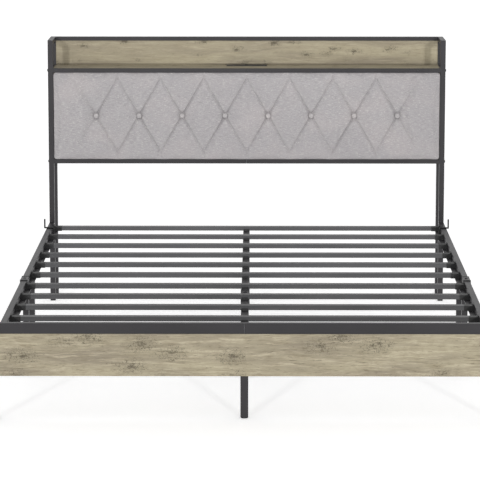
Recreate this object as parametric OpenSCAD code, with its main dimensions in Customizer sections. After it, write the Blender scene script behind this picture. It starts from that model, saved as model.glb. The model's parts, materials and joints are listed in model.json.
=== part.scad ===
// Platform bed with an upholstered, shelf-topped headboard.
// The origin is on the floor under the middle of the bed: +Y runs to the headboard, +Z is up.

/* [Bed] */
// Overall length, from the face of the foot rail to the back of the headboard
bed_l = 2220; // [2160:10:2300]
// Outer width over the headboard posts and the side rails
frame_w = 1550; // [1450:10:1650]
// Height of the platform rails' top face above the floor
rail_top = 313; // [300:1:340]
// Overall height of the headboard
head_h = 1030; // [1000:10:1100]
// Depth of the headboard from the face of its front posts to its back
head_d = 180; // [160:5:200]

/* [Tubes] */
// Side of the square headboard posts, and width of the platform rails
tube = 20; // [20:1:24]
// Height of the headboard's cross tubes
cross_h = 15; // [15:1:16]
// Height of the side rails and the foot rail
rail_h = 34; // [32:1:36]
// Wall thickness of every tube
wall = 1.2; // [1:0.1:1.5]

/* [Shelf] */
// Height of the shelf surface above the floor
shelf_top = 920; // [900:5:930]
// Thickness of the wood boards
board = 15; // [14:1:16]
// Length of the power strip's bezel
strip_l = 158; // [150:1:170]
// Depth of the power strip's bezel
strip_d = 60; // [56:1:64]

/* [Upholstery] */
// Height of the top face of the rail under the padded panel
panel_bottom = 563; // [540:1:600]
// Thickness of the backing board
backing_t = 9; // [8:1:10]
// Thickness of the foam and linen
pad_t = 24; // [22:1:28]
// Number of tufting buttons
buttons = 8; // [6:1:9]
// Distance between neighbouring buttons
button_pitch = 168; // [150:1:170]
// Height of the row of buttons above the rail under the panel
button_rise = 173; // [150:1:190]
// Diameter of a button
button_d = 20; // [18:1:22]

/* [Platform] */
// Number of slats on the head half of the side rails
slats_head = 6; // [4:1:6]
// Number of slats on the foot half
slats_foot = 4; // [2:1:4]
// Pitch of the slats on the head half
pitch_head = 207.5; // [190:0.5:208]
// Pitch of the slats on the foot half
pitch_foot = 194; // [180:1:200]
// Distance from the headboard posts to the middle of the first slat
first_slat = 56; // [45:1:60]
// Distance from the side rails' joint to the first slat of the foot half
joint_slat = 57; // [57:1:70]
// Width of a slat
slat_w = 30; // [28:1:32]
// Height of a slat
slat_h = 15; // [14:1:15]
// Distance from the headboard posts to the joint of the side rails
joint_at = 1250; // [1250:5:1260]
// Distance from the headboard posts to the joint of the centre rail
centre_joint_at = 1370; // [1368:1:1380]
// Height of the wood panel under the foot rail
foot_panel_h = 137; // [110:1:160]

/* [Legs] */
// Side of the centre and foot legs
leg = 25; // [25:1:28]
// Gap between the outer face of a side rail and the foot leg beside it
foot_leg_gap = 8; // [0:1:20]
// Distance of each side leg from the side rails' joint
side_leg_at = 120; // [110:5:130]
// Height of the plastic caps under the legs
cap_h = 3; // [2:0.5:4]
// Height of the mattress retainers above the rails
retainer_h = 38; // [30:1:50]

/* [Hidden] */
$fn = 48;
X = 0;
Y = 1;
Z = 2;
gap = 0.5;
half_w = frame_w / 2;
inner_w = half_w - tube;
foot_y = -bed_l / 2;
back_y = bed_l / 2;
post_y = back_y - head_d;
bay_y = post_y + tube;
rear_y = back_y - tube;
tie_z = head_h - cross_h;
shelf_z = shelf_top - board;
front_rail_z = shelf_top - cross_h;
rear_rail_z = shelf_z - cross_h;
bottom_rail_z = panel_bottom - cross_h - 1;
back_board_y = rear_y + 3;

// Upholstery
pad_half = inner_w - gap;
pad_top = front_rail_z - gap;
backing_y = bay_y - backing_t;
pad_y = backing_y - pad_t;
button_z = panel_bottom + button_rise;
button_r = button_d / 2;
button_h = 5;
button_sink = 4.5;
shank_r = 2;
function button_x(i) = (i - (buttons - 1) / 2) * button_pitch;

// Power strip
strip_y = back_board_y - 4 - strip_d / 2;
bezel_h = 4;
bezel_lip = 4.5;
strip_h = 50;
shell = 2;
insert_l = 40;
insert_w = 36;
insert_h = 16;
insert_pitch = 48;
usb_a = [13.2, 5.6];
usb_a_y = [8.5, 0.5];
usb_c = [9.2, 3.4];
usb_c_y = -8.5;
gland_x = -60;

// Platform
rail_z = rail_top - rail_h;
joint_y = post_y - joint_at;
centre_joint_y = post_y - centre_joint_at;
ledge_w = 18;
ledge_t = 2;
ledge_z = rail_top - 23;
slat_z = ledge_z + 2;
plug_l = 26;
slat_half = inner_w - 7 - plug_l;
slats = slats_head + slats_foot;
function slat_y(i) = i < slats_head
    ? post_y - first_slat - i * pitch_head
    : joint_y - joint_slat - (i - slats_head) * pitch_foot;
end_plate_t = 3;
end_plate_drop = 24;
sleeve_half = 35;
sleeve_t = 2.5;
collar_w = 3;
collar_t = 3.5;
centre_w = 25;
centre_h = 40;
centre_z = ledge_z - centre_h;
bracket_half = 42;
rail_front = foot_y + tube;
foot_leg_x = half_w + foot_leg_gap;
leg_half = foot_leg_x + leg;
panel_back = foot_y + board;
bolt_r = 3;
hole_r = bolt_r + 0.05;
head_bolt_z = [front_rail_z + cross_h / 2, bottom_rail_z + (cross_h + 1) / 2];
rear_bolt_z = [tie_z + cross_h / 2, rear_rail_z + cross_h / 2];
post_bolt_z = [rail_top - rail_h / 2, rail_z - end_plate_drop / 2];
foot_bolt_x = inner_w - 27;
foot_bolt_z = rail_top - 16;
centre_bolt_x = 22;
shelf_screw_x = [-667, 3, 667];

// Legs
side_leg_x = half_w - 14 - tube;
side_leg_y = [joint_y + side_leg_at, joint_y - side_leg_at];
leg_plate_t = 3;
centre_leg_y = [post_y - 80, centre_joint_y, panel_back + gap + leg / 2];
insert_flange = 2;
insert_depth = 24;
pad_h = 3.7;
pad_r = 12;
stud_r = 4;
stud_hole_r = stud_r + 0.05;
stud_z = 1.2;
stud_top = 40;
retainer_y = post_y - 150;
retainer_r = 3;

STEEL = "#47474a";
SLAT_STEEL = "#58595c";
WOOD = "#a79d86";
LINEN = "#aeabac";
PLASTIC = "#1d1d1f";
ZINC = "#8d9094";

// ---- shared shapes ----

// Box between two opposite corners
module box(low, high) {
    translate(low) cube(high - low);
}

// Rectangular tube between two corners, open at both ends along an axis
module hollow(low, high, axis) {
    inset = [for (i = [X:Z]) i == axis ? -1 : wall];
    difference() {
        box(low, high);
        box(low + inset, high - inset);
    }
}

// Turns +Z to run along an axis, forwards (1) or backwards (-1)
module along(axis, way) {
    turn = axis == X ? [0, 90 * way, 0] : axis == Y ? [-90 * way, 0, 0] : [way < 0 ? 180 : 0, 0, 0];
    rotate(turn) children();
}

// Both sides of the bed, from the +X side
module both_sides() {
    children();
    mirror([1, 0, 0]) children();
}

// Button-head bolt: its head lies behind the point and its shank runs along the axis
module bolt(point, axis, way, shank, r = bolt_r, head = 5.5, head_h = 3.2) {
    translate(point) along(axis, way) {
        cylinder(r = r, h = shank);
        difference() {
            union() {
                translate([0, 0, -head_h * 0.4]) cylinder(r = head, h = head_h * 0.4);
                translate([0, 0, -head_h]) cylinder(r1 = head * 0.6, r2 = head, h = head_h * 0.6);
            }
            translate([0, 0, -head_h - 1]) cylinder(r = head * 0.45, h = head_h * 0.6 + 1, $fn = 6);
        }
    }
}

// Straight hole through everything on its line
module bore(point, axis, length, r = hole_r) {
    translate(point) along(axis, 1) translate([0, 0, -length / 2]) cylinder(r = r, h = length);
}

// Cross tube between the posts, with an end plate that takes a bolt at each closed end
module cross_tube(x0, x1, y0, z0, h, closed) {
    difference() {
        union() {
            hollow([x0, y0, z0], [x1, y0 + tube, z0 + h], X);
            for (x = closed)
                box([min(x, x - sign(x) * end_plate_t), y0 + wall / 2, z0 + wall / 2],
                    [max(x, x - sign(x) * end_plate_t), y0 + tube - wall / 2, z0 + h - wall / 2]);
        }
        for (x = closed) bore([x, y0 + tube / 2, z0 + h / 2], X, 4 * end_plate_t);
    }
}

// ---- headboard frame ----

module front_post(side) {
    color(STEEL) mirror([side < 0 ? 1 : 0, 0, 0]) difference() {
        hollow([inner_w, post_y, cap_h], [half_w, bay_y, tie_z], Z);
        for (z = head_bolt_z) bore([half_w, post_y + tube / 2, z], X, 3 * tube);
        for (z = post_bolt_z) bore([half_w - tube / 2, post_y, z], Y, 3 * tube);
    }
}

module rear_post(side) {
    color(STEEL) mirror([side < 0 ? 1 : 0, 0, 0]) difference() {
        hollow([inner_w, rear_y, cap_h], [half_w, back_y, tie_z], Z);
        bore([half_w, rear_y + tube / 2, rear_bolt_z[1]], X, 3 * tube);
    }
}

module head_side_ties() {
    color(STEEL) both_sides() {
        difference() {
            union() {
                hollow([inner_w, post_y, tie_z], [half_w, back_y, head_h], Y);
                for (y = [post_y, back_y - wall])
                    box([inner_w + wall / 2, y, tie_z + wall / 2],
                        [half_w - wall / 2, y + wall, head_h - wall / 2]);
            }
            bore([half_w, rear_y + tube / 2, rear_bolt_z[0]], X, 3 * tube);
        }
        hollow([inner_w, bay_y, front_rail_z], [half_w, rear_y, shelf_top], Y);
        hollow([inner_w, bay_y, bottom_rail_z], [half_w, rear_y, panel_bottom], Y);
    }
}

module head_rear_rails() {
    color(STEEL) for (z = [tie_z, rear_rail_z])
        cross_tube(-inner_w, inner_w, rear_y, z, cross_h, [-inner_w, inner_w]);
}

module shelf_front_rail() {
    color(STEEL) difference() {
        cross_tube(-inner_w, inner_w, post_y, front_rail_z, cross_h, [-inner_w, inner_w]);
        for (x = shelf_screw_x) bore([x, post_y, front_rail_z + cross_h / 2], Y, 3 * tube, 1.55);
    }
}

module bottom_rail(side) {
    color(STEEL) mirror([side < 0 ? 1 : 0, 0, 0])
        cross_tube(gap / 2, inner_w, post_y, bottom_rail_z, cross_h + 1, [inner_w]);
}

// Bars inside the two-part rails, across their middle joints
module rail_connectors() {
    slack = wall + 0.2;
    color(ZINC) difference() {
        union() {
            hollow([-90, post_y + slack, bottom_rail_z + slack],
                [90, bay_y - slack, panel_bottom - slack], X);
            hollow([-110, foot_y + slack, rail_z + slack], [110, rail_front - slack, rail_top - slack], X);
        }
        for (x = [-centre_bolt_x, centre_bolt_x]) bore([x, rail_front, foot_bolt_z], Y, 14);
    }
}

// ---- shelf ----

module shelf_board() {
    cut = [strip_l / 2 - bezel_lip + gap, strip_d / 2 - bezel_lip / 2 - 1];
    color(WOOD) difference() {
        box([-pad_half, bay_y, shelf_z], [pad_half, back_y, shelf_top]);
        box([-cut[X], strip_y - cut[Y], shelf_z - 1], [cut[X], strip_y + cut[Y], shelf_top + 1]);
        for (x = shelf_screw_x) bore([x, bay_y, front_rail_z + cross_h / 2], Y, 30, 1.55);
    }
}

module shelf_back_board() {
    color(WOOD) box([-pad_half, back_board_y, shelf_top], [pad_half, back_board_y + board, tie_z]);
}

// ---- power strip ----

module insert_window(x, slack) {
    translate([x, strip_y, shelf_top + bezel_h - insert_h / 2 - gap])
        cube([insert_l + slack, insert_w + slack, insert_h], center = true);
}

module power_housing() {
    half = [strip_l / 2 - bezel_lip, strip_d / 2 - bezel_lip / 2 - 1.5];
    floor_z = shelf_top - strip_h;
    color(PLASTIC) difference() {
        union() {
            box([-strip_l / 2, strip_y - strip_d / 2, shelf_top],
                [strip_l / 2, strip_y + strip_d / 2, shelf_top + bezel_h]);
            box([-half[X], strip_y - half[Y], floor_z], [half[X], strip_y + half[Y], shelf_top]);
        }
        box([shell - half[X], strip_y - half[Y] + shell, floor_z + shell],
            [half[X] - shell, strip_y + half[Y] - shell, shelf_top - shell]);
        for (i = [-1:1]) translate([0, 0, gap]) insert_window(i * insert_pitch, 0.2);
        bore([gland_x, strip_y, floor_z], Z, 4 * shell, 5);
    }
}

module power_sockets() {
    top = shelf_top + bezel_h - gap;
    color(PLASTIC) for (x = [-insert_pitch, insert_pitch]) difference() {
        insert_window(x, 0);
        for (s = [-1, 1])
            translate([x + s * 6.35, strip_y + 4, top - 5]) cube([2, 7, 12], center = true);
        translate([x, strip_y - 7, top - 11]) cylinder(r = 2.4, h = 12);
    }
}

module usb_insert() {
    top = shelf_top + bezel_h - gap;
    color(PLASTIC) difference() {
        insert_window(0, 0);
        for (y = usb_a_y) translate([0, strip_y + y, top - 5]) cube([usb_a[X], usb_a[Y], 12], center = true);
        translate([0, strip_y + usb_c_y, top - 4]) cube([usb_c[X] - usb_c[Y], usb_c[Y], 10], center = true);
        for (s = [-1, 1]) translate([s * (usb_c[X] - usb_c[Y]) / 2, strip_y + usb_c_y, top - 9])
            cylinder(d = usb_c[Y], h = 12);
    }
}

// Grommet in the housing's floor, where the mains lead goes in
module power_gland() {
    floor_z = shelf_top - strip_h;
    color(PLASTIC) translate([gland_x, strip_y, floor_z]) difference() {
        union() {
            translate([0, 0, -4]) cylinder(r = 8, h = 4);
            cylinder(r = 4.95, h = shell + 3);
        }
        translate([0, 0, -5]) cylinder(r = 3.6, h = shell + 10);
    }
}

// ---- upholstery ----

module backing_board() {
    color(WOOD) difference() {
        box([-pad_half, backing_y, panel_bottom + gap], [pad_half, bay_y, pad_top]);
        for (i = [0:buttons - 1]) bore([button_x(i), bay_y, button_z], Y, 60, shank_r + 0.1);
    }
}

// Foam and linen, with a sunk well round each button
module upholstered_pad() {
    well = button_sink + button_h;
    color(LINEN) difference() {
        box([-pad_half, pad_y, panel_bottom + gap], [pad_half, backing_y, pad_top]);
        for (i = [0:buttons - 1]) {
            bore([button_x(i), pad_y, button_z], Y, 2 * well, button_r + 2);
            bore([button_x(i), pad_y, button_z], Y, 3 * pad_t, shank_r + 0.1);
        }
    }
}

module tuft_buttons() {
    color(LINEN) for (i = [0:buttons - 1]) translate([button_x(i), pad_y + button_sink, button_z])
        along(Y, 1) {
            cylinder(r1 = button_r * 0.7, r2 = button_r, h = button_h * 0.4);
            translate([0, 0, button_h * 0.4]) cylinder(r = button_r, h = button_h * 0.6);
            cylinder(r = shank_r, h = bay_y - pad_y - button_sink + 4);
        }
}

module tuft_washers() {
    color(ZINC) for (i = [0:buttons - 1]) translate([button_x(i), bay_y, button_z])
        along(Y, 1) difference() {
            cylinder(r = 9, h = 1.5);
            translate([0, 0, -1]) cylinder(r = shank_r + 0.05, h = 4);
        }
}

// ---- brackets and fasteners ----

// Flat or bent 2 mm strip: an outline in Y and Z, extruded along X
module strap(x, width, outline) {
    translate([x - width / 2, 0, 0]) rotate([90, 0, 90]) linear_extrude(width) polygon(outline);
}

module panel_brackets() {
    t = 2;
    color(ZINC) {
        for (x = [-600, -200, 200, 600]) {
            strap(x, 30, [[bay_y, shelf_z], [bay_y + 25, shelf_z], [bay_y + 25, shelf_z - t],
                [bay_y + t, shelf_z - t], [bay_y + t, shelf_z - 25], [bay_y, shelf_z - 25]]);
            strap(x, 30, [[bay_y, bottom_rail_z + 3], [bay_y + t, bottom_rail_z + 3],
                [bay_y + t, panel_bottom + 30], [bay_y, panel_bottom + 30]]);
            strap(x * 1.1, 30, [[panel_back, rail_z - 24], [panel_back + t, rail_z - 24],
                [panel_back + t, rail_z - t], [rail_front + t, rail_z - t], [rail_front + t, rail_z + 18],
                [rail_front, rail_z + 18], [rail_front, rail_z], [panel_back, rail_z]]);
        }
        both_sides() {
            for (z = [panel_bottom + 60, pad_top - 60])
                box([inner_w - 22, bay_y, z - 15], [inner_w + 16, bay_y + t, z + 15]);
            for (z = [rail_z - 95, rail_z - 35]) {
                box([foot_leg_x - 30, panel_back, z - 14], [foot_leg_x, panel_back + t, z + 14]);
                box([foot_leg_x - t, panel_back + t, z - 14], [foot_leg_x, foot_y + leg - 1, z + 14]);
            }
        }
    }
}

module frame_fasteners() {
    color(ZINC) {
        both_sides() {
            for (z = head_bolt_z) bolt([half_w, post_y + tube / 2, z], X, -1, tube + 10);
            for (z = rear_bolt_z) bolt([half_w, rear_y + tube / 2, z], X, -1, tube + 10);
            for (z = post_bolt_z) bolt([half_w - tube / 2, bay_y, z], Y, -1, tube + 9);
            translate([half_w - tube / 2, post_y - end_plate_t, post_bolt_z[1]]) along(Y, -1)
                difference() {
                    cylinder(r = 5.5, h = 5, $fn = 6);
                    translate([0, 0, -1]) cylinder(r = hole_r, h = 7);
                }
            for (s = [-1, 1])
                bolt([half_w + sleeve_t, joint_y + s * 20, rail_top - 14], X, -1, 8, bolt_r, 5.5, 3);
            bolt([half_w - tube / 2, joint_y, rail_top + sleeve_t], Z, -1, 7, bolt_r, 5, 2.4);
            bolt([foot_bolt_x, rail_front + end_plate_t, foot_bolt_z], Y, -1, 9);
            bolt([centre_bolt_x, rail_front + end_plate_t, foot_bolt_z], Y, -1, 9);
            for (y = side_leg_y, s = [-1, 1])
                bolt([half_w - tube / 2 + 3, y + s * 16, rail_z - leg_plate_t], Z, 1, 8, 2, 3.5, 2);
        }
        for (s = [-1, 1]) bolt([0, centre_joint_y + s * 20, ledge_z + sleeve_t], Z, -1, 8, bolt_r, 7, 3);
        for (i = [0:2], s = [-1, 1])
            if (i < 2 || s > 0)
                bolt([0, centre_leg_y[i] + s * 22, centre_z - leg_plate_t], Z, 1, 8, 2.5, 4.5, 2.5);
        for (x = shelf_screw_x) bolt([x, post_y, front_rail_z + cross_h / 2], Y, 1, 30, 1.5, 3.4, 1.6);
    }
}

// ---- platform ----

// Half of a side rail: a tube with the slat ledge welded along its inner face
module rail_body(y0, y1) {
    hollow([inner_w, y0, rail_z], [half_w, y1, rail_top], Y);
    box([inner_w - ledge_w, y0, ledge_z - ledge_t], [inner_w + wall / 2, y1, ledge_z]);
    box([inner_w - ledge_t, y0, ledge_z - 9], [inner_w + wall / 2, y1, ledge_z - ledge_t / 2]);
}

module leg_screw_holes(y) {
    for (s = [-1, 1]) bore([half_w - tube / 2 + 3, y + s * 16, rail_z], Z, 10, 2.05);
}

module side_rail_head(side) {
    end_y = post_y - end_plate_t;
    color(STEEL) mirror([side < 0 ? 1 : 0, 0, 0]) difference() {
        union() {
            rail_body(joint_y + gap, end_y + wall / 2);
            box([inner_w, end_y, rail_z - end_plate_drop], [half_w, post_y, rail_top]);
        }
        for (z = post_bolt_z) bore([half_w - tube / 2, post_y, z], Y, 40);
        bore([half_w, joint_y + 20, rail_top - 14], X, 10);
        bore([half_w - tube / 2, joint_y, rail_top], Z, 10);
        bore([inner_w - 6, retainer_y, ledge_z], Z, 10, retainer_r + 0.05);
        leg_screw_holes(side_leg_y[0]);
    }
}

module side_rail_foot(side) {
    end_y = rail_front + gap / 2;
    color(STEEL) mirror([side < 0 ? 1 : 0, 0, 0]) difference() {
        union() {
            rail_body(end_y, joint_y - gap);
            box([inner_w, end_y, rail_z + wall / 2], [half_w - wall / 2, end_y + 2, rail_top - wall / 2]);
            box([foot_bolt_x - 12, rail_front, ledge_z + ledge_t],
                [inner_w, rail_front + end_plate_t, rail_top - 2]);
            box([inner_w - end_plate_t, rail_front, ledge_z - ledge_t / 2],
                [inner_w + wall / 2, rail_front + 46, rail_top - 2]);
        }
        bore([foot_bolt_x, rail_front, foot_bolt_z], Y, 20);
        bore([half_w, joint_y - 20, rail_top - 14], X, 10);
        bore([half_w - tube / 2, joint_y, rail_top], Z, 10);
        leg_screw_holes(side_leg_y[1]);
    }
}

// U-shaped cover over the joint of the side rails' halves
module joint_cover(y0, y1, t, inner_z) {
    box([inner_w - t, y0, rail_top], [half_w + t, y1, rail_top + t]);
    box([half_w, y0, rail_z + 4], [half_w + t, y1, rail_top + t]);
    box([inner_w - t, y0, inner_z], [inner_w, y1, rail_top + t]);
}

module rail_joint_sleeves() {
    color(STEEL) both_sides() difference() {
        joint_cover(joint_y - sleeve_half, joint_y + sleeve_half, sleeve_t, ledge_z + gap);
        for (s = [-1, 1]) bore([half_w, joint_y + s * 20, rail_top - 14], X, 10);
        bore([half_w - tube / 2, joint_y, rail_top], Z, 10);
    }
}

module rail_joint_collars() {
    color(PLASTIC) both_sides() for (s = [-1, 1]) {
        near = joint_y + s * sleeve_half;
        far = near + s * collar_w;
        joint_cover(min(near, far), max(near, far), collar_t, ledge_z + gap);
    }
}

module foot_rail(side) {
    color(STEEL) mirror([side < 0 ? 1 : 0, 0, 0]) difference() {
        union() {
            hollow([gap / 2, foot_y, rail_z], [leg_half, rail_front, rail_top], X);
            box([leg_half - 2, foot_y + wall / 2, rail_z + wall / 2],
                [leg_half, rail_front - wall / 2, rail_top - wall / 2]);
        }
        for (x = [foot_bolt_x, centre_bolt_x]) bore([x, rail_front, foot_bolt_z], Y, 14);
    }
}

module foot_panel() {
    color(WOOD) box([gap - foot_leg_x, foot_y, rail_z - gap - foot_panel_h],
        [foot_leg_x - gap, panel_back, rail_z - gap]);
}

module centre_rail(y0, y1, cap_y) {
    color(STEEL) difference() {
        union() {
            hollow([-centre_w / 2, y0, centre_z], [centre_w / 2, y1, ledge_z], Y);
            box([-centre_w / 2 + wall / 2, cap_y, centre_z + wall / 2],
                [centre_w / 2 - wall / 2, cap_y + 2, ledge_z - wall / 2]);
        }
        for (y = centre_leg_y, s = [-1, 1]) bore([0, y + s * 22, centre_z], Z, 10, 2.55);
        for (s = [-1, 1]) bore([0, centre_joint_y + s * 20, ledge_z], Z, 10);
    }
}

module centre_rail_head() {
    end_y = post_y - 25;
    centre_rail(centre_joint_y + gap / 2, end_y, end_y - 2);
}

module centre_rail_foot() {
    end_y = rail_front + end_plate_t + 1;
    centre_rail(end_y, centre_joint_y - gap / 2, end_y);
}

module centre_joint_bracket() {
    y0 = centre_joint_y - bracket_half;
    y1 = centre_joint_y + bracket_half;
    half = centre_w / 2;
    color(STEEL) difference() {
        union() {
            box([-half - sleeve_t, y0, ledge_z], [half + sleeve_t, y1, ledge_z + sleeve_t]);
            for (x = [-half - sleeve_t, half])
                box([x, y0, centre_z + 5], [x + sleeve_t, y1, ledge_z + sleeve_t]);
        }
        for (s = [-1, 1]) bore([0, centre_joint_y + s * 20, ledge_z], Z, 10);
    }
}

module centre_foot_bracket() {
    half = centre_w / 2;
    color(STEEL) difference() {
        union() {
            box([-32, rail_front, centre_z + 4], [32, rail_front + end_plate_t, rail_top - 3]);
            for (x = [-half - sleeve_t, half])
                box([x, rail_front, centre_z + 4], [x + sleeve_t, rail_front + 45, ledge_z - 2]);
        }
        for (x = [-centre_bolt_x, centre_bolt_x]) bore([x, rail_front, foot_bolt_z], Y, 20);
    }
}

module slat(i) {
    color(SLAT_STEEL) hollow([-slat_half, slat_y(i) - slat_w / 2, slat_z],
        [slat_half, slat_y(i) + slat_w / 2, slat_z + slat_h], X);
}

// Plastic end piece of each slat: a spigot in the tube, a flush block on the ledge, and a lug at the rail
module slat_end_caps() {
    slack = 0.1;
    spigot = 24;
    flange_t = 3;
    flange_lip = 2;
    outer_x = inner_w - gap / 2;
    slat_top = slat_z + slat_h;
    inset = wall + slack;
    color(PLASTIC) both_sides() for (i = [0:slats - 1]) translate([0, slat_y(i), 0]) {
        box([slat_half - spigot, inset - slat_w / 2, slat_z + inset],
            [slat_half + flange_t, slat_w / 2 - inset, slat_top - inset]);
        box([slat_half + slack, -slat_w / 2, ledge_z], [outer_x, slat_w / 2, slat_top]);
        box([outer_x - flange_t, -slat_w / 2 - flange_lip, ledge_z],
            [outer_x, slat_w / 2 + flange_lip, rail_top - gap]);
    }
}

// Saddle that holds each slat on the centre rail
module slat_centre_clips() {
    lip = 2.5;
    color(PLASTIC) for (i = [0:slats - 1]) translate([0, slat_y(i), 0]) {
        half = slat_w / 2;
        box([-11, -half - lip, ledge_z], [11, half + lip, slat_z]);
        for (y = [-half - lip, half]) box([-11, y, ledge_z], [11, y + lip, slat_z + 6]);
    }
}

// Bent bar that stands over each side rail and keeps the mattress in place
module mattress_retainers() {
    inner_x = inner_w - 6;
    outer_x = half_w + 7;
    bar_z = rail_top + retainer_r;
    color(PLASTIC) both_sides() translate([0, retainer_y, 0]) {
        translate([inner_x, 0, ledge_z - 8]) cylinder(r = retainer_r, h = bar_z - ledge_z + 8);
        translate([inner_x, 0, bar_z]) sphere(r = retainer_r);
        translate([inner_x, 0, bar_z]) along(X, 1) cylinder(r = retainer_r, h = outer_x - inner_x);
        translate([outer_x, 0, bar_z]) sphere(r = retainer_r);
        translate([outer_x, 0, bar_z]) cylinder(r = retainer_r, h = retainer_h - 2 * retainer_r);
        translate([outer_x, 0, rail_top + retainer_h - retainer_r]) sphere(r = retainer_r);
    }
}

// ---- legs ----

// Square leg under a screwed plate
module plated_leg(x, y, size, low, top, plate_low, plate_high, holes) {
    difference() {
        union() {
            hollow([x - size / 2, y - size / 2, low], [x + size / 2, y + size / 2, top - leg_plate_t / 2], Z);
            box([plate_low[X], plate_low[Y], top - leg_plate_t], [plate_high[X], plate_high[Y], top]);
        }
        for (h = holes) bore([h[X], h[Y], top], Z, 10, h[Z]);
    }
}

module side_legs() {
    x = side_leg_x + tube / 2;
    color(STEEL) both_sides() for (y = side_leg_y)
        plated_leg(x, y, tube, cap_h, rail_z, [x - tube / 2, y - 21], [half_w, y + 21],
            [for (s = [-1, 1]) [half_w - tube / 2 + 3, y + s * 16, 2.05]]);
}

module centre_legs() {
    color(STEEL) for (i = [0:2]) {
        y = centre_leg_y[i];
        plated_leg(0, y, leg, cap_h + insert_flange + 1, centre_z, [-centre_w / 2, max(y - 30, panel_back + gap)],
            [centre_w / 2, y + 30], [for (s = [-1, 1]) [0, y + s * 22, 2.55]]);
    }
}

module foot_legs() {
    color(STEEL) both_sides()
        hollow([foot_leg_x, foot_y, cap_h], [leg_half, foot_y + leg, rail_z], Z);
}

// Plastic foot: a square sole with a plug up inside the tube
module leg_cap(x, y, size) {
    plug = size / 2 - wall - 0.1;
    box([x - size / 2, y - size / 2, 0], [x + size / 2, y + size / 2, cap_h]);
    box([x - plug, y - plug, 0], [x + plug, y + plug, cap_h + 14]);
}

module leg_caps() {
    color(PLASTIC) both_sides() {
        for (y = [post_y, rear_y]) leg_cap(half_w - tube / 2, y + tube / 2, tube);
        for (y = side_leg_y) leg_cap(side_leg_x + tube / 2, y, tube);
        leg_cap(leg_half - leg / 2, foot_y + leg / 2, leg);
    }
}

// Threaded plug in the bottom of each centre leg
module leg_inserts() {
    plug = leg / 2 - wall - 0.1;
    low = cap_h + 1;
    top = low + insert_flange;
    color(PLASTIC) for (y = centre_leg_y) difference() {
        union() {
            box([-leg / 2, y - leg / 2, low], [leg / 2, y + leg / 2, top]);
            box([-plug, y - plug, top - 1], [plug, y + plug, top + insert_depth]);
        }
        bore([0, y, top], Z, 100, stud_hole_r);
    }
}

// Round sole of a levelling foot, which swivels on the end of its stud
module glide_pad(i) {
    color(PLASTIC) translate([0, centre_leg_y[i], 0]) difference() {
        union() {
            cylinder(r1 = pad_r - 1, r2 = pad_r, h = 1);
            translate([0, 0, 1]) cylinder(r = pad_r, h = pad_h - 1);
        }
        translate([0, 0, stud_z]) cylinder(r = stud_hole_r, h = pad_h);
    }
}

module glide_stud(i) {
    color(ZINC) translate([0, centre_leg_y[i], stud_z + 0.05]) difference() {
        cylinder(r = stud_r, h = stud_top - stud_z);
        translate([0, 0, stud_top - stud_z - 4]) cylinder(r = 2.2, h = 6, $fn = 6);
    }
}

front_post(-1);  // head_post_front_left
front_post(1);  // head_post_front_right
rear_post(-1);  // head_post_rear_left
rear_post(1);  // head_post_rear_right
head_side_ties();
head_rear_rails();
shelf_front_rail();
bottom_rail(-1);  // bottom_rail_left
bottom_rail(1);  // bottom_rail_right
rail_connectors();
shelf_board();
shelf_back_board();
backing_board();
upholstered_pad();
tuft_buttons();
tuft_washers();
panel_brackets();
frame_fasteners();
power_housing();
power_sockets();
usb_insert();
power_gland();
side_rail_head(-1);  // side_rail_head_left
side_rail_head(1);  // side_rail_head_right
side_rail_foot(-1);  // side_rail_foot_left
side_rail_foot(1);  // side_rail_foot_right
rail_joint_sleeves();
rail_joint_collars();
side_legs();
foot_rail(-1);  // foot_rail_left
foot_rail(1);  // foot_rail_right
foot_legs();
foot_panel();
centre_rail_head();
centre_rail_foot();
centre_joint_bracket();
centre_foot_bracket();
centre_legs();
slat_end_caps();
slat_centre_clips();
leg_caps();
leg_inserts();
mattress_retainers();
glide_pad(0);  // glide_pad_head
glide_pad(1);  // glide_pad_middle
glide_pad(2);  // glide_pad_foot
glide_stud(0);  // glide_stud_head
glide_stud(1);  // glide_stud_middle
glide_stud(2);  // glide_stud_foot
slat(0);  // slat_01
slat(1);  // slat_02
slat(2);  // slat_03
slat(3);  // slat_04
slat(4);  // slat_05
slat(5);  // slat_06
slat(6);  // slat_07
slat(7);  // slat_08
slat(8);  // slat_09
slat(9);  // slat_10
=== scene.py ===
"""Looks of a metal platform bed with a tufted headboard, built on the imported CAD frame.

Everything is in metres, in the frame of the CAD model: +Y towards the headboard, +Z up.
"""

import json
import math

import bpy
import numpy as np
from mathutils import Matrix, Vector


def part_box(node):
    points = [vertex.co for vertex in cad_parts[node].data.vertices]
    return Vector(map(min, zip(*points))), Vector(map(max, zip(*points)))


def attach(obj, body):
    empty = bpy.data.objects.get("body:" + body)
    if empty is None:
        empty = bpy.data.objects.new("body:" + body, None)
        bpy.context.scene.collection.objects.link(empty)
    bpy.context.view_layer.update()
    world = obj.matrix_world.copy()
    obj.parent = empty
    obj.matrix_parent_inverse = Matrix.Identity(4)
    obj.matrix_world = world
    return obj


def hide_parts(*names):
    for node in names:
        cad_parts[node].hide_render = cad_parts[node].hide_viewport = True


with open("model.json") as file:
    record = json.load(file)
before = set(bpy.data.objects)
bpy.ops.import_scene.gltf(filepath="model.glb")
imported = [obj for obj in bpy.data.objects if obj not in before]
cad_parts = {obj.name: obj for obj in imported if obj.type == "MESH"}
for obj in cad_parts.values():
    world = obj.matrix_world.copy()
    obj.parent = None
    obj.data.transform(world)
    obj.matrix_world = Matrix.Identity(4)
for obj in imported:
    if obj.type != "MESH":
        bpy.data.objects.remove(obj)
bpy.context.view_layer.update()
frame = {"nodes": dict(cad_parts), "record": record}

# ---- camera, in front of the foot end and a little above the headboard ----

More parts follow.
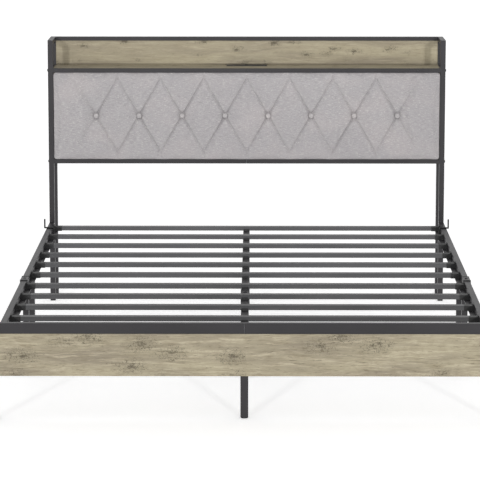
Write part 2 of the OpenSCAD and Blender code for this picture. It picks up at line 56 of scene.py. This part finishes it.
CAMERA_AT = (0.035, -9.307, 1.938)
CAMERA_LENS = 197.6  # millimetres
CAMERA_DOWN = 9.40  # degrees below the horizon
CAMERA_TURN = 0.34  # degrees to the left

camera = bpy.data.objects.new("camera", bpy.data.cameras.new("camera"))
camera.data.lens = CAMERA_LENS
camera.location = CAMERA_AT
camera.rotation_euler = (math.radians(90 - CAMERA_DOWN), 0, math.radians(CAMERA_TURN))
bpy.context.collection.objects.link(camera)
bpy.context.scene.camera = camera


# ---- material helpers ----


def linear(text):
    """The linear RGBA of a hexadecimal sRGB colour."""
    parts = [int(text[i : i + 2], 16) / 255 for i in (1, 3, 5)]
    return (*[c / 12.92 if c <= 0.04045 else ((c + 0.055) / 1.055) ** 2.4 for c in parts], 1)


class Shader:
    """A material and short calls for the nodes used below.

    Textures lie in each object's own coordinates, which at rest are those of the CAD model.
    """

    def __init__(self, name, **values):
        self.material = bpy.data.materials.new(name)
        self.material.use_nodes = True
        self.tree = self.material.node_tree
        self.surface = self.tree.nodes["Principled BSDF"]
        for key, value in values.items():
            self.surface.inputs[key.replace("_", " ")].default_value = value
        self.place = self.tree.nodes.new("ShaderNodeTexCoord").outputs["Object"]

    def feed(self, node, key, value):
        """Links a socket, or sets a number or colour, on one input."""
        if isinstance(value, bpy.types.NodeSocket):
            self.tree.links.new(value, node.inputs[key])
        else:
            node.inputs[key].default_value = value

    def stretched(self, scale, turn=(0, 0, 0), place=None):
        """A place, or the object's own coordinates, turned and times a scale for each axis."""
        node = self.tree.nodes.new("ShaderNodeMapping")
        self.feed(node, "Vector", place or self.place)
        node.inputs["Scale"].default_value = scale
        node.inputs["Rotation"].default_value = turn
        return node.outputs["Vector"]

    def noise(self, place, detail=4.0, rough=0.55, distortion=0.0):
        """Fractal noise from 0 to 1 around 0.5. The place carries the scale."""
        node = self.tree.nodes.new("ShaderNodeTexNoise")
        self.feed(node, "Vector", place)
        given = {"Scale": 1, "Detail": detail, "Roughness": rough, "Distortion": distortion}
        for key, value in given.items():
            node.inputs[key].default_value = value
        return node.outputs["Fac"]

    def spots(self, place, out="Distance"):
        """Distance to, or a random colour for, the nearest of points scattered in a place's x and y."""
        node = self.tree.nodes.new("ShaderNodeTexVoronoi")
        node.voronoi_dimensions = "2D"
        self.feed(node, "Vector", place)
        node.inputs["Scale"].default_value = 1
        return node.outputs[out]

    def calc(self, kind, a, b=0.5, clamp=False):
        """One sum, product or function of a, and of b where it takes two."""
        node = self.tree.nodes.new("ShaderNodeMath")
        node.operation = kind
        node.use_clamp = clamp
        self.feed(node, 0, a)
        self.feed(node, 1, b)
        return node.outputs[0]

    def span(self, value, low, high, to_low=0.0, to_high=1.0):
        """The value's range low to high, mapped to another and held inside it."""
        node = self.tree.nodes.new("ShaderNodeMapRange")
        ends = {"From Min": low, "From Max": high, "To Min": to_low, "To Max": to_high}
        for key, given in {"Value": value, **ends}.items():
            self.feed(node, key, given)
        return node.outputs[0]

    def mix(self, share, a, b):
        """Colour a, with a share of colour b."""
        node = self.tree.nodes.new("ShaderNodeMix")
        node.data_type = "RGBA"
        self.feed(node, 0, share)
        self.feed(node, 6, a)
        self.feed(node, 7, b)
        return node.outputs[2]

    def axis(self, name, place=None):
        """One coordinate of a place."""
        node = self.tree.nodes.new("ShaderNodeSeparateXYZ")
        self.feed(node, 0, place or self.place)
        return node.outputs[name]

    def joined(self, x, y, z):
        """A place from its three coordinates."""
        node = self.tree.nodes.new("ShaderNodeCombineXYZ")
        for key, value in enumerate((x, y, z)):
            self.feed(node, key, value)
        return node.outputs[0]

    def relief(self, height, distance, strength=1.0, under=None):
        """A bump as deep as the height, from 0 to 1, times the distance in metres."""
        node = self.tree.nodes.new("ShaderNodeBump")
        node.inputs["Strength"].default_value = strength
        node.inputs["Distance"].default_value = distance
        self.feed(node, "Height", height)
        if under is not None:
            self.feed(node, "Normal", under)
        return node.outputs[0]

    def finish(self, colour, roughness, normal):
        """The material, with its surface fed."""
        for key, value in {"Base Color": colour, "Roughness": roughness, "Normal": normal}.items():
            self.feed(self.surface, key, value)
        return self.material


# ---- materials, one for each slot of the record ----

SHADOW_LINE_H = 0.003  # height of the painted contact shadow along the foot of the back board, where it stands on the shelf
SHADOW_LINE_SOFT = 0.002  # height over which that painted shadow fades out
THREAD_PITCH = 0.00085  # from one thread of the linen to the next
THREAD_WAVER = 0.0012  # how far a thread strays from straight


def powder_coat(name, tone, pale, dark, rough=(0.32, 0.46)):
    """Satin powder coat: a fine orange-peel, a few paler flecks, and slow variations in tone."""
    s = Shader(name, Specular_IOR_Level=0.38)
    peel = s.noise(s.stretched((900, 900, 900)), detail=3)
    grit = s.noise(s.stretched((4200, 4200, 4200)), detail=2)
    cloud = s.noise(s.stretched((3.5, 3.5, 9)), detail=3)
    colour = s.mix(s.span(cloud, 0.3, 0.7), linear(dark), linear(tone))
    colour = s.mix(s.span(grit, 0.58, 0.75, 0, 0.45), colour, linear(pale))
    roughness = s.span(s.calc("ADD", peel, s.calc("MULTIPLY", cloud, 0.6)), 0.5, 1.1, *rough)
    bump = s.relief(grit, 0.00004, 0.5, s.relief(peel, 0.00012, 0.7))
    return s.finish(colour, roughness, bump)


def moulded_plastic(name, tone, pale, rough=(0.42, 0.60), grain=2600):
    """Spark-eroded moulded plastic: a fine even grain with slight scuffs."""
    s = Shader(name, Specular_IOR_Level=0.42)
    fine = s.noise(s.stretched((grain, grain, grain)), detail=2)
    scuff = s.noise(s.stretched((40, 40, 160)), detail=5, rough=0.7)
    colour = s.mix(s.span(scuff, 0.55, 0.8, 0, 0.6), linear(tone), linear(pale))
    roughness = s.span(scuff, 0.3, 0.7, *rough)
    return s.finish(colour, roughness, s.relief(fine, 0.00003, 0.8))


def plated_steel(name, tone, pale, rough=(0.28, 0.45)):
    """Zinc-plated pressed steel with a faint drawn grain and cloudy passivation."""
    s = Shader(name, Metallic=1.0)
    drawn = s.noise(s.stretched((120, 2400, 2400)), detail=3)
    cloud = s.noise(s.stretched((60, 60, 60)), detail=4, distortion=0.6)
    colour = s.mix(s.span(cloud, 0.35, 0.7), linear(tone), linear(pale))
    roughness = s.span(s.calc("ADD", drawn, cloud), 0.7, 1.3, *rough)
    return s.finish(colour, roughness, s.relief(drawn, 0.00002, 0.6))


def weathered_oak(name, streaks=1.0, knots=(6.2, 13.5, 1), knot_reach=0.46):
    """Greige oak foil: grain and streaks along the board, knots with dark specks round them, and a
    painted shadow where the back board meets the shelf.
    """
    s = Shader(name, Specular_IOR_Level=0.3)
    wander = s.noise(s.stretched((2.4, 10, 10)), detail=3)
    drift = s.calc("MULTIPLY", s.calc("SUBTRACT", wander, 0.5), 0.035)
    x, y, z = (s.axis(a) for a in "XYZ")
    flow = s.joined(x, s.calc("ADD", y, drift), s.calc("ADD", z, drift))

    broad = s.noise(s.stretched((1.9, 15, 15), place=flow), detail=4, rough=0.6, distortion=0.5)
    dark_streak = s.noise(s.stretched((14, 170, 170), place=flow), detail=6, rough=0.72)
    pale_streak = s.noise(s.stretched((9, 120, 120), turn=(0.5, 0, 0), place=flow), detail=6, rough=0.7)
    fibre = s.noise(s.stretched((40, 1000, 1000), place=flow), detail=4, rough=0.75)
    split = s.noise(s.stretched((30, 300, 300), turn=(0.9, 0, 0), place=flow), detail=3, rough=0.7)
    mottle = s.noise(s.stretched((48, 80, 80)), detail=5, rough=0.75)
    speck_place = s.stretched((150, 190, 165), turn=(0, 0.6, 0))
    speck = s.noise(speck_place, detail=4, rough=0.75, distortion=1.4)

    board = s.calc("ADD", z, s.calc("MULTIPLY", y, 0.9))  # runs on from an upright board to a flat one
    knot_place = s.stretched(knots, place=s.joined(x, board, 0.0))
    ragged = s.calc("MULTIPLY", s.calc("SUBTRACT", mottle, 0.5), 0.9)
    reach = s.calc("ADD", s.spots(knot_place), ragged)
    chosen = s.span(s.axis("X", s.spots(knot_place, "Color")), 0.25, 0.6)
    halo = s.calc("MULTIPLY", s.span(reach, 0.04, knot_reach, 1, 0), chosen)
    heart = s.calc("MULTIPLY", s.span(reach, 0.0, 0.10, 1, 0), chosen)
    specks = s.calc("MULTIPLY", s.span(halo, 0.05, 0.55), s.span(speck, 0.53, 0.59), clamp=True)

    colour = s.mix(s.span(broad, 0.38, 0.62), linear("#8a816f"), linear("#a59c84"))
    colour = s.mix(s.span(pale_streak, 0.50, 0.66, 0, 0.65 * streaks), colour, linear("#c4b9a1"))
    colour = s.mix(s.span(dark_streak, 0.50, 0.68, 0, 0.70 * streaks), colour, linear("#796e58"))
    colour = s.mix(s.span(mottle, 0.50, 0.72, 0, 0.40 * streaks), colour, linear("#88806b"))
    colour = s.mix(s.span(fibre, 0.50, 0.70, 0, 0.35), colour, linear("#766b54"))
    colour = s.mix(s.calc("MULTIPLY", halo, 0.30), colour, linear("#7f7864"))
    colour = s.mix(s.calc("MULTIPLY", specks, 0.85), colour, linear("#4f493a"))
    colour = s.mix(s.calc("MULTIPLY", heart, 0.70), colour, linear("#4d4538"))
    splits = s.span(split, 0.60, 0.65)
    colour = s.mix(s.calc("MULTIPLY", splits, 0.55 * streaks), colour, linear("#5c523f"))

    # painted shade: a dark band on the back board just above the shelf, in place of the contact shadow
    # in that corner
    above = s.calc("SUBTRACT", z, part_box("shelf_board")[1].z)
    from_shelf = s.span(above, 0.0003, 0.0006)  # leaves out the shelf's own top
    painted_shadow = s.calc("MULTIPLY", from_shelf, s.span(above, SHADOW_LINE_H, SHADOW_LINE_H + SHADOW_LINE_SOFT, 1, 0))
    colour = s.mix(s.calc("MULTIPLY", painted_shadow, 0.75), colour, linear("#4a4335"))

    sunk = s.calc("ADD", s.calc("MULTIPLY", specks, 0.7), s.calc("MULTIPLY", splits, 0.6))
    height = s.calc("SUBTRACT", s.calc("MULTIPLY", dark_streak, -0.5), sunk)
    bump = s.relief(fibre, 0.00006, 0.5, s.relief(height, 0.00025, 0.7))
    return s.finish(colour, s.span(dark_streak, 0.35, 0.7, 0.50, 0.66), bump)


def fibreboard(name):
    """Raw hardboard: pressed brown fibres in every direction."""
    s = Shader(name, Specular_IOR_Level=0.25)
    strands = s.noise(s.stretched((260, 260, 420)), detail=6, rough=0.75, distortion=1.2)
    cloud = s.noise(s.stretched((9, 9, 9)), detail=4)
    colour = s.mix(s.span(strands, 0.35, 0.68), linear("#5c5349"), linear("#7f7466"))
    colour = s.mix(s.span(cloud, 0.4, 0.7, 0, 0.4), colour, linear("#6b6156"))
    return s.finish(colour, s.span(strands, 0.3, 0.7, 0.7, 0.86), s.relief(strands, 0.00015, 0.7))


def linen(name, painted_highlight=0.0):
    """Melange linen: a plain weave of uneven threads, pale slubs mostly across, and a soft bloom.

    The whole cloth may be made paler by a given share, a painted highlight.
    """
    s = Shader(name, Sheen_Weight=0.22, Sheen_Roughness=0.45, Specular_IOR_Level=0.2)
    s.surface.inputs["Sheen Tint"].default_value = linear("#d9d4d4")
    x, y, z = (s.axis(a) for a in "XYZ")
    side = s.calc("MULTIPLY", y, 0.7)
    waver = s.calc("MULTIPLY", s.noise(s.stretched((60, 60, 60)), detail=2), THREAD_WAVER)
    across = s.calc("ADD", s.calc("ADD", x, side), waver)
    along = s.calc("ADD", s.calc("SUBTRACT", z, side), waver)
    turns = 2 * math.pi / THREAD_PITCH
    warp = s.calc("SINE", s.calc("MULTIPLY", across, turns))
    weft = s.calc("SINE", s.calc("MULTIPLY", along, turns))
    weave = s.span(s.calc("MULTIPLY", warp, weft), -1, 1)
    threads = s.joined(across, 0.0, along)

    weft_tone = s.noise(s.stretched((38, 1, 1250), place=threads), detail=3, rough=0.65)
    warp_tone = s.noise(s.stretched((1250, 1, 46), place=threads), detail=3, rough=0.65)
    slub = s.noise(s.stretched((75, 1, 380), place=threads), detail=4, rough=0.7)
    fleck = s.noise(s.stretched((170, 1, 300), place=threads), detail=3, rough=0.7)
    wash = s.noise(s.stretched((5, 5, 5)), detail=3)
    blush = s.noise(s.stretched((7, 7, 9), turn=(0.4, 0.2, 0.9)), detail=2)

    colour = s.mix(s.span(weft_tone, 0.35, 0.66), linear("#8c898a"), linear("#b1aeaf"))
    colour = s.mix(s.span(warp_tone, 0.4, 0.7, 0, 0.5), colour, linear("#a19ea0"))
    colour = s.mix(s.span(blush, 0.45, 0.7, 0, 0.45), colour, linear("#afa8a8"))
    colour = s.mix(s.span(slub, 0.56, 0.68, 0, 0.75), colour, linear("#d4d0cc"))
    colour = s.mix(s.span(slub, 0.33, 0.44, 0.6, 0), colour, linear("#817c7f"))
    colour = s.mix(s.span(fleck, 0.59, 0.69, 0, 0.68), colour, linear("#dad6d2"))
    colour = s.mix(s.span(weave, 0.0, 0.5, 0.22, 0), colour, linear("#6f6b6d"))
    colour = s.mix(s.span(wash, 0.35, 0.7, 0, 0.18), colour, linear("#8f8b8e"))
    # painted highlight: the whole cloth made paler
    if painted_highlight:
        colour = s.mix(painted_highlight, colour, linear("#e2deda"))
    bump = s.relief(weave, 0.00022, 0.8, s.relief(s.calc("ADD", slub, weft_tone), 0.0003, 0.5))
    return s.finish(colour, s.span(slub, 0.3, 0.7, 0.82, 0.94), bump)


MATERIALS = {
    "frame_metal": powder_coat("frame_metal", "#272528", "#383639", "#201e21"),
    "slat_metal": powder_coat("slat_metal", "#4e4e50", "#606062", "#454547"),
    "retainer_black": powder_coat("retainer_black", "#101011", "#1f1f20", "#0b0b0c", (0.3, 0.45)),
    "black_zinc": plated_steel("black_zinc", "#3a3a3c", "#515153"),
    "zinc": plated_steel("zinc", "#9da0a3", "#c4c7c9"),
    "black_plastic": moulded_plastic("black_plastic", "#1a1a1b", "#2a2a2b"),
    "strip_plastic": moulded_plastic("strip_plastic", "#151310", "#26231f", (0.28, 0.42), 3400),
    "wood": weathered_oak("wood"),
    "backing": fibreboard("backing"),
    "linen": linen("linen"),
    # the buttons wear the pad's linen made paler, a painted highlight on their domes
    "button_linen": linen("button_linen", painted_highlight=0.08),
}

# the shelf's boards have fainter streaks and smaller knots than the foot panel
SHELF_WOOD = weathered_oak("wood_shelf", streaks=0.5, knots=(8.5, 19, 1), knot_reach=0.30)

SHELF_BOARDS = ("shelf_board", "shelf_back_board")

for part in frame["record"]["subparts"]:
    made_of = SHELF_WOOD if part["node"] in SHELF_BOARDS else MATERIALS[part["material_slot"]]
    for holder in frame["nodes"][part["node"]].material_slots:
        holder.link = "OBJECT"
        holder.material = made_of

BOARD_EDGE = 0.0008
TUBE_EDGE = 0.0005
BEVEL_FROM = 40  # degrees between two faces, from which their edge is rounded
HEAD_TUBES = ("head_post", "head_side", "head_rear", "shelf_front", "bottom_rail")
FOOT_TUBES = ("foot_rail", "foot_legs", "side_legs")


def softened(node, width):
    """Rounds a CAD node's hard edges a little, so that they catch the light."""
    bevel = frame["nodes"][node].modifiers.new("edge", "BEVEL")
    bevel.width = width
    bevel.segments = 2
    bevel.limit_method = "ANGLE"
    bevel.angle_limit = math.radians(BEVEL_FROM)
    bevel.harden_normals = True


for name in (*SHELF_BOARDS, "foot_panel"):
    softened(name, BOARD_EDGE)
for name in frame["nodes"]:
    if name.startswith(HEAD_TUBES + FOOT_TUBES):
        softened(name, TUBE_EDGE)

# ---- new pieces ----


def piece(name, verts, faces, slot, body):
    """A smooth mesh object in the material of a slot of the record, riding on a body."""
    mesh = bpy.data.meshes.new(name)
    mesh.from_pydata([tuple(v) for v in verts], [], faces)
    mesh.validate()
    mesh.materials.append(MATERIALS[slot])
    mesh.polygons.foreach_set("use_smooth", [True] * len(mesh.polygons))
    made = bpy.data.objects.new(name, mesh)
    bpy.context.collection.objects.link(made)
    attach(made, body)
    return made


def turned(profile, centre, steps=40):
    """Vertices and faces of a profile turned about a line along Y through the centre.

    The profile's points are (radius, y), and the last one lies on the line and closes the shape.
    """
    verts, faces = [], []
    for r, y in profile[:-1]:
        for k in range(steps):
            a = 2 * math.pi * k / steps
            verts.append((centre[0] + r * math.cos(a), centre[1] + y, centre[2] + r * math.sin(a)))
    rings = len(profile) - 1
    for i in range(rings - 1):
        here, beyond = i * steps, (i + 1) * steps
        for k in range(steps):
            n = (k + 1) % steps
            faces.append((here + k, here + n, beyond + n, beyond + k))
    verts.append((centre[0], centre[1] + profile[-1][1], centre[2]))
    last = (rings - 1) * steps
    faces += [(last + k, last + (k + 1) % steps, len(verts) - 1) for k in range(steps)]
    return verts, faces


# ---- tufted pad ----

pad_low, pad_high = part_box("upholstered_pad")
button_low, button_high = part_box("tuft_buttons")
BUTTONS = 8
BUTTON_R = (button_high.z - button_low.z) / 2
BUTTON_Z = (button_low.z + button_high.z) / 2
PITCH = (button_high.x - button_low.x - 2 * BUTTON_R) / (BUTTONS - 1)
BUTTON_X = [(i - (BUTTONS - 1) / 2) * PITCH for i in range(BUTTONS)]

FOLD_RISE = 0.144  # from the row of buttons up or down to where two folds meet
FOLD_STEPS = 20  # mesh columns and rows between a button and the end of its fold
EDGE_R = 0.004  # rounding of the pad's front edges
CORNER_R = 0.009  # rounding of its four corners, seen from the front
PUFF = 0.006  # how far the flat cover starts behind its swollen face
FOLD_SINK = 0.0045  # depth of a fold before the cover swells
FOLD_WIDTH = 0.005  # distance from a fold's line at which its depth has fallen to about a third
HELD_WIDTH = 0.0022  # the same for how firmly a fold is held while the cover swells
WELL_SINK = 0.017  # depth of the cover under a button before it swells
WELL_R = 0.015  # distance from a button's middle at which that has fallen to about a third
SWELL_MOST = 0.009  # the furthest that the swelling may move any point
CREASE_SINK = 0.0068  # depth of the sharp crease pressed into each fold at the end
CREASE_WIDTH = 0.0026  # the crease's own width, measured like a fold's
CREASE_LIP = 0.35  # height of the lip beside the crease, as a share of its depth
LIP_BELOW = 0.35  # height of the lip below a crease, as a share of the one above it
LIP_AT = 2.2  # distance of the lip's top from the crease's line, in crease widths
LIP_WIDTH = 1.1  # its own width, in crease widths
FACE_DEPTH = 0.016  # the cover within this depth of the pad's front is its face
PROUD = 0.003  # how far the cover may stand in front of the CAD pad
FABRIC_CLEAR = 0.0004  # gap between the cover and the frame round it
CALM_RIM = 0.022  # margin along which the cover stays straight beside the frame
LEAST_GAP = 0.6  # of a mesh step, between the mesh's last even line and the pad's edge
TINY = 1e-9  # keeps a length of nothing from being divided by


def spread(low, high, step, origin):
    """Evenly spaced values through an origin, with both ends kept and nothing crowded against them."""
    first = math.ceil((low - origin) / step + LEAST_GAP)
    last = math.floor((high - origin) / step - LEAST_GAP)
    return [low, *[origin + k * step for k in range(first, last + 1)], high]


def fold_lines():
    """Each fold as (start, end, strength at the start, strength at the end), in x and z."""
    lines = []
    uneven = np.random.default_rng(11)
    for i, x in enumerate(BUTTON_X):
        for way in (-1, 1):
            outer = (i == 0 and way < 0) or (i == BUTTONS - 1 and way > 0)
            for up in (-1, 1):
                end = (x + way * PITCH / 2, BUTTON_Z + up * FOLD_RISE)
                if outer:
                    lines.append(((x, BUTTON_Z), end, 0.75 if up > 0 else 0.55, 0.0))
                else:
                    drawn = uneven.uniform(0.8, 1.1)
                    lines.append(((x, BUTTON_Z), end, drawn, drawn * uneven.uniform(0.4, 0.75)))
    for i in range(BUTTONS - 1):
        x = (BUTTON_X[i] + BUTTON_X[i + 1]) / 2
        lines.append(((x, BUTTON_Z - FOLD_RISE), (x, pad_low.z), 0.3, 0.0))
        lines.append(((x, BUTTON_Z + FOLD_RISE), (x, pad_high.z), 0.4, 0.15))
    return lines


def fold_depth(x, z, width, lip=0.0):
    """How deep the folds are at each point, from 0 to about 1, less a raised lip beside them.

    The lip is higher above a fold than below it. The width is that of the fold.
    """
    depth = np.zeros_like(x)
    raised = np.zeros_like(x)
    for (x0, z0), (x1, z1), strong, weak in fold_lines():
        dx, dz = x1 - x0, z1 - z0
        length = math.hypot(dx, dz)
        t = np.clip(((x - x0) * dx + (z - z0) * dz) / length**2, 0, 1)
        off_x, off_z = x - x0 - t * dx, z - z0 - t * dz
        off = np.hypot(off_x, off_z)
        strength = strong + (weak - strong) * t
        depth = np.maximum(depth, strength * np.exp(-off / width))
        side = np.where(off_z > 0, 1.0, LIP_BELOW)
        bulge = np.exp(-(((off - LIP_AT * width) / (LIP_WIDTH * width)) ** 2))
        raised = np.maximum(raised, strength * side * bulge)
    return depth - lip * raised


def cover_mesh():
    """The cover's vertices and faces before it swells, and the vertices of its back edge.

    It is one sheet over the pad's face and round all four sides, open at the back.
    """
    column = PITCH / 2 / FOLD_STEPS
    row = FOLD_RISE / FOLD_STEPS
    low_x, high_x = pad_low.x + FABRIC_CLEAR, pad_high.x - FABRIC_CLEAR
    low_z, high_z = pad_low.z + FABRIC_CLEAR, pad_high.z - FABRIC_CLEAR
    xs = spread(low_x, high_x, column, 0.0)
    zs = spread(low_z, high_z, row, BUTTON_Z)
    x, z = np.meshgrid(xs, zs)
    inside = np.minimum.reduce([x - low_x, high_x - x, z - low_z, high_z - z])
    over_x = np.clip(CORNER_R - np.minimum(x - low_x, high_x - x), 0, None)
    over_z = np.clip(CORNER_R - np.minimum(z - low_z, high_z - z), 0, None)
    pull = 1 - np.maximum(over_x, over_z) / np.maximum(np.hypot(over_x, over_z), TINY)
    pull[(over_x == 0) | (over_z == 0)] = 0
    x, z = x - np.sign(x) * over_x * pull, z - np.sign(z - BUTTON_Z) * over_z * pull
    turn = np.clip(inside / EDGE_R, 0, 1)
    rim = EDGE_R * (1 - np.sqrt(1 - (1 - turn) ** 2))
    start = pad_low.y + PUFF
    y = start + rim + FOLD_SINK * fold_depth(x, z, FOLD_WIDTH)
    for bx in BUTTON_X:
        y += (WELL_SINK - FOLD_SINK) * np.exp(-((np.hypot(x - bx, z - BUTTON_Z) / WELL_R) ** 2))
    verts = [tuple(v) for v in np.stack([x, y, z], axis=-1).reshape(-1, 3)]
    wide, high = len(xs), len(zs)
    faces = []
    for j in range(high - 1):
        for i in range(wide - 1):
            faces.append((j * wide + i, j * wide + i + 1, (j + 1) * wide + i + 1, (j + 1) * wide + i))
    border = list(range(wide))
    border += [j * wide + wide - 1 for j in range(1, high)]
    border += [(high - 1) * wide + i for i in range(wide - 2, -1, -1)]
    border += [j * wide for j in range(high - 2, 0, -1)]
    ring = border
    for share in (0.33, 0.66, 1.0):
        base = len(verts)
        for b in border:
            vx, vy, vz = verts[b]
            verts.append((vx, vy + (pad_high.y - vy) * share, vz))
        for k in range(len(border)):
            n = (k + 1) % len(border)
            faces.append((ring[n], ring[k], base + k, base + n))
        ring = list(range(base, base + len(border)))
    return verts, faces, ring


def swollen(pad, rim, press=4.0, frames=20, levels=10):
    """The cover's points after Blender's cloth has inflated it.

    Its back edge and the points under the buttons stay where they are, and the folds nearly so.
    """
    mesh = pad.data
    start = np.empty(len(mesh.vertices) * 3)
    mesh.vertices.foreach_get("co", start)
    start = start.reshape(-1, 3)
    hold = pad.vertex_groups.new(name="held")
    depth = fold_depth(start[:, 0], start[:, 2], HELD_WIDTH)
    well = np.min([np.hypot(start[:, 0] - bx, start[:, 2] - BUTTON_Z) for bx in BUTTON_X], axis=0)
    strength = np.clip(np.where(well < BUTTON_R, 1.0, depth * 1.05), 0, 1)
    strength[rim] = 1.0
    for level in range(1, levels + 1):
        chosen = np.nonzero(np.round(strength * levels) == level)[0].tolist()
        if chosen:
            hold.add(chosen, level / levels, "REPLACE")
    cloth = pad.modifiers.new("cloth", "CLOTH")
    rules = cloth.settings
    rules.quality = 6
    rules.mass = 0.3
    rules.tension_stiffness = rules.compression_stiffness = 12
    rules.shear_stiffness = 6
    rules.bending_stiffness = 0.6
    rules.use_pressure = True
    rules.uniform_pressure_force = press
    rules.shrink_min = -0.012
    rules.vertex_group_mass = hold.name
    rules.effector_weights.gravity = 0
    cloth.collision_settings.use_collision = False
    cloth.point_cache.frame_start = 1
    cloth.point_cache.frame_end = frames
    for number in range(1, frames + 1):
        bpy.context.scene.frame_set(number)
    posed = pad.evaluated_get(bpy.context.evaluated_depsgraph_get())
    after = np.empty(len(mesh.vertices) * 3)
    posed.data.vertices.foreach_get("co", after)
    moved = after.reshape(-1, 3) - start
    length = np.linalg.norm(moved, axis=1, keepdims=True)
    moved *= np.minimum(1, SWELL_MOST / np.maximum(length, TINY))
    x, z = start[:, 0], start[:, 2]
    inside = np.minimum.reduce([x - pad_low.x, pad_high.x - x, z - pad_low.z, pad_high.z - z])
    moved *= np.clip(inside / CALM_RIM, 0, 1)[:, None] ** 0.5
    pad.modifiers.remove(cloth)
    pad.vertex_groups.clear()
    bpy.context.scene.frame_set(1)
    return start + moved


verts, faces, rim = cover_mesh()
pad = piece("tufted_cover", verts, faces, "linen", "frame")
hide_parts("upholstered_pad")
pad.data.vertices.foreach_set("co", swollen(pad, rim).reshape(-1))
finer = pad.modifiers.new("finer", "SUBSURF")
finer.levels = finer.render_levels = 1
bpy.context.view_layer.update()
fine = bpy.data.meshes.new_from_object(pad.evaluated_get(bpy.context.evaluated_depsgraph_get()))
pad.modifiers.clear()
pad.data = fine
points = np.empty(len(fine.vertices) * 3)
fine.vertices.foreach_get("co", points)
points = points.reshape(-1, 3)
crease = fold_depth(points[:, 0], points[:, 2], CREASE_WIDTH, lip=CREASE_LIP)
front = points[:, 1] < pad_low.y + FACE_DEPTH
points[front, 1] += CREASE_SINK * crease[front]
points[:, 0] = np.clip(points[:, 0], pad_low.x + FABRIC_CLEAR, pad_high.x - FABRIC_CLEAR)
points[:, 2] = np.clip(points[:, 2], pad_low.z + FABRIC_CLEAR, pad_high.z - FABRIC_CLEAR)
points[:, 1] = np.clip(points[:, 1], pad_low.y - PROUD, pad_high.y)
fine.vertices.foreach_set("co", points.reshape(-1))
fine.update()

# ---- fabric-covered buttons ----

# (share of the button's radius, distance behind the CAD button's front), from the back to the tip
DOME = [(0.55, 0.0045), (0.93, 0.0038), (1.0, 0.0020), (0.98, 0.0004)]
DOME += [(0.88, -0.0010), (0.66, -0.0021), (0.36, -0.0028), (0, -0.0030)]
verts, faces = [], []
for x in BUTTON_X:
    centre = (x, button_low.y, BUTTON_Z)
    more, joined = turned([(r * BUTTON_R, y) for r, y in DOME], centre)
    faces += [tuple(i + len(verts) for i in f) for f in joined]
    verts += more
buttons = piece("covered_buttons", verts, faces, "button_linen", "frame")
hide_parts("tuft_buttons")

# ---- floor and light ----

FLOOR_HALF = 300  # so far that its edge is not seen in a low side view
FLOOR_GLOW = 0.41  # its own light, which keeps the bed's broad shadow faint
corners = [(-FLOOR_HALF, -FLOOR_HALF, 0), (FLOOR_HALF, -FLOOR_HALF, 0)]
corners += [(FLOOR_HALF, FLOOR_HALF, 0), (-FLOOR_HALF, FLOOR_HALF, 0)]

floor = bpy.data.objects.new("floor", bpy.data.meshes.new("floor"))
floor.data.from_pydata(corners, [], [(0, 1, 2, 3)])
pale = Shader("studio_floor", Base_Color=(0.97, 0.97, 0.97, 1), Roughness=0.9, Specular_IOR_Level=0.2)
pale.surface.inputs["Emission Color"].default_value = (1, 1, 1, 1)
pale.surface.inputs["Emission Strength"].default_value = FLOOR_GLOW
floor.data.materials.append(pale.material)
bpy.context.collection.objects.link(floor)

SKY_FRONT = 0.0  # brightness at the horizon on the camera's side
SKY_BACK = 0.76  # and behind the headboard
SKY_ABOVE = 0.32  # what is added overhead

world = bpy.data.worlds.new("studio")
bpy.context.scene.world = world
world.use_nodes = True
sky = world.node_tree
towards = sky.nodes.new("ShaderNodeSeparateXYZ")
sky.links.new(sky.nodes.new("ShaderNodeTexCoord").outputs["Generated"], towards.inputs[0])
glow = []
for axis, low, to_low, to_high in (("Y", -1, SKY_FRONT, SKY_BACK), ("Z", 0, 0, SKY_ABOVE)):
    ramp = sky.nodes.new("ShaderNodeMapRange")
    sky.links.new(towards.outputs[axis], ramp.inputs["Value"])
    for key, value in {"From Min": low, "From Max": 1, "To Min": to_low, "To Max": to_high}.items():
        ramp.inputs[key].default_value = value
    glow.append(ramp.outputs[0])
total = sky.nodes.new("ShaderNodeMath")
for key, value in enumerate(glow):
    sky.links.new(value, total.inputs[key])
sky.links.new(total.outputs[0], sky.nodes["Background"].inputs["Strength"])
sky.nodes["Background"].inputs["Color"].default_value = (1, 1, 1, 1)


def soft_sun(name, turn, height, spread_angle, strength):
    """A broad distant light in front of the foot end.

    Turn is its angle to the left, height its angle above the horizon, and spread_angle how wide it
    looks, all in degrees.
    """
    light = bpy.data.objects.new(name, bpy.data.lights.new(name, "SUN"))
    light.data.energy = strength
    light.data.angle = math.radians(spread_angle)
    light.rotation_euler = (math.radians(90 - height), 0, math.radians(-turn))
    bpy.context.collection.objects.link(light)


def softbox(name, at, aim, width, height, power, fan):
    """A rectangular area light at a point, facing another, its light held within fan degrees."""
    light = bpy.data.objects.new(name, bpy.data.lights.new(name, "AREA"))
    light.data.shape = "RECTANGLE"
    light.data.size, light.data.size_y = width, height
    light.data.energy = power
    light.data.spread = math.radians(fan)
    light.location = at
    light.rotation_euler = (Vector(aim) - Vector(at)).to_track_quat("-Z", "Y").to_euler()
    bpy.context.collection.objects.link(light)


for name, turn in (("left_light", 18), ("right_light", -18)):
    soft_sun(name, turn, height=11, spread_angle=3.5, strength=0.96)
above_bed, headboard = (0, -1.6, 1.9), (0, 1.0, 0.8)
softbox("headboard_light", above_bed, headboard, width=1.2, height=0.6, power=1.9, fan=60)

bpy.context.scene.view_settings.view_transform = "Standard"
